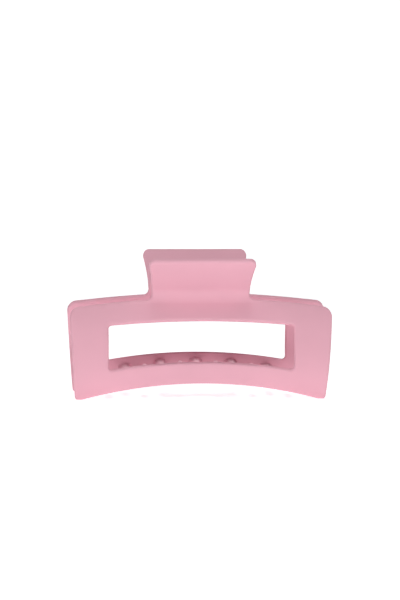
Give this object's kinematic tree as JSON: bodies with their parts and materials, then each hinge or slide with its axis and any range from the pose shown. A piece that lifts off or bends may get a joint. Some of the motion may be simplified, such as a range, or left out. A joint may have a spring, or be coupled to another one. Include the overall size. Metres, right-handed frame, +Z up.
{
  "type": "claw clip",
  "caption": "Large rectangular claw hair clip: two curved windowed jaws with flared handles and meshing teeth, turning on a steel pin against a torsion spring.",
  "frame": {"origin": "on the surface that the closed clip stands on, under the middle of the clip", "axes": "+X runs along the clip and along the hinge pin, -Y is the front jaw's side, +Z is up through the handles"},
  "size_m": [0.1036, 0.048, 0.0565],
  "materials": {
    "jaw_plastic": "soft-touch matte pink",
    "pin_steel": "drawn and nickel plated",
    "spring_steel": "drawn spring wire, nickel plated"
  },
  "bodies": {
    "front": {"front_jaw": "jaw_plastic", "hinge_pin": "pin_steel", "torsion_spring": "spring_steel"},
    "rear": {"rear_jaw": "jaw_plastic"}
  },
  "joints": [
    {"name": "jaw_hinge", "type": "hinge", "parent": "front", "child": "rear", "pos_m": [0, 0, 0.0405], "axis": [1, 0, 0], "range_deg": [0, 80], "stiffness_Nm_per_rad": 0.15, "springref_deg": -45.84, "deforming": ["torsion_spring"]}
  ]
}
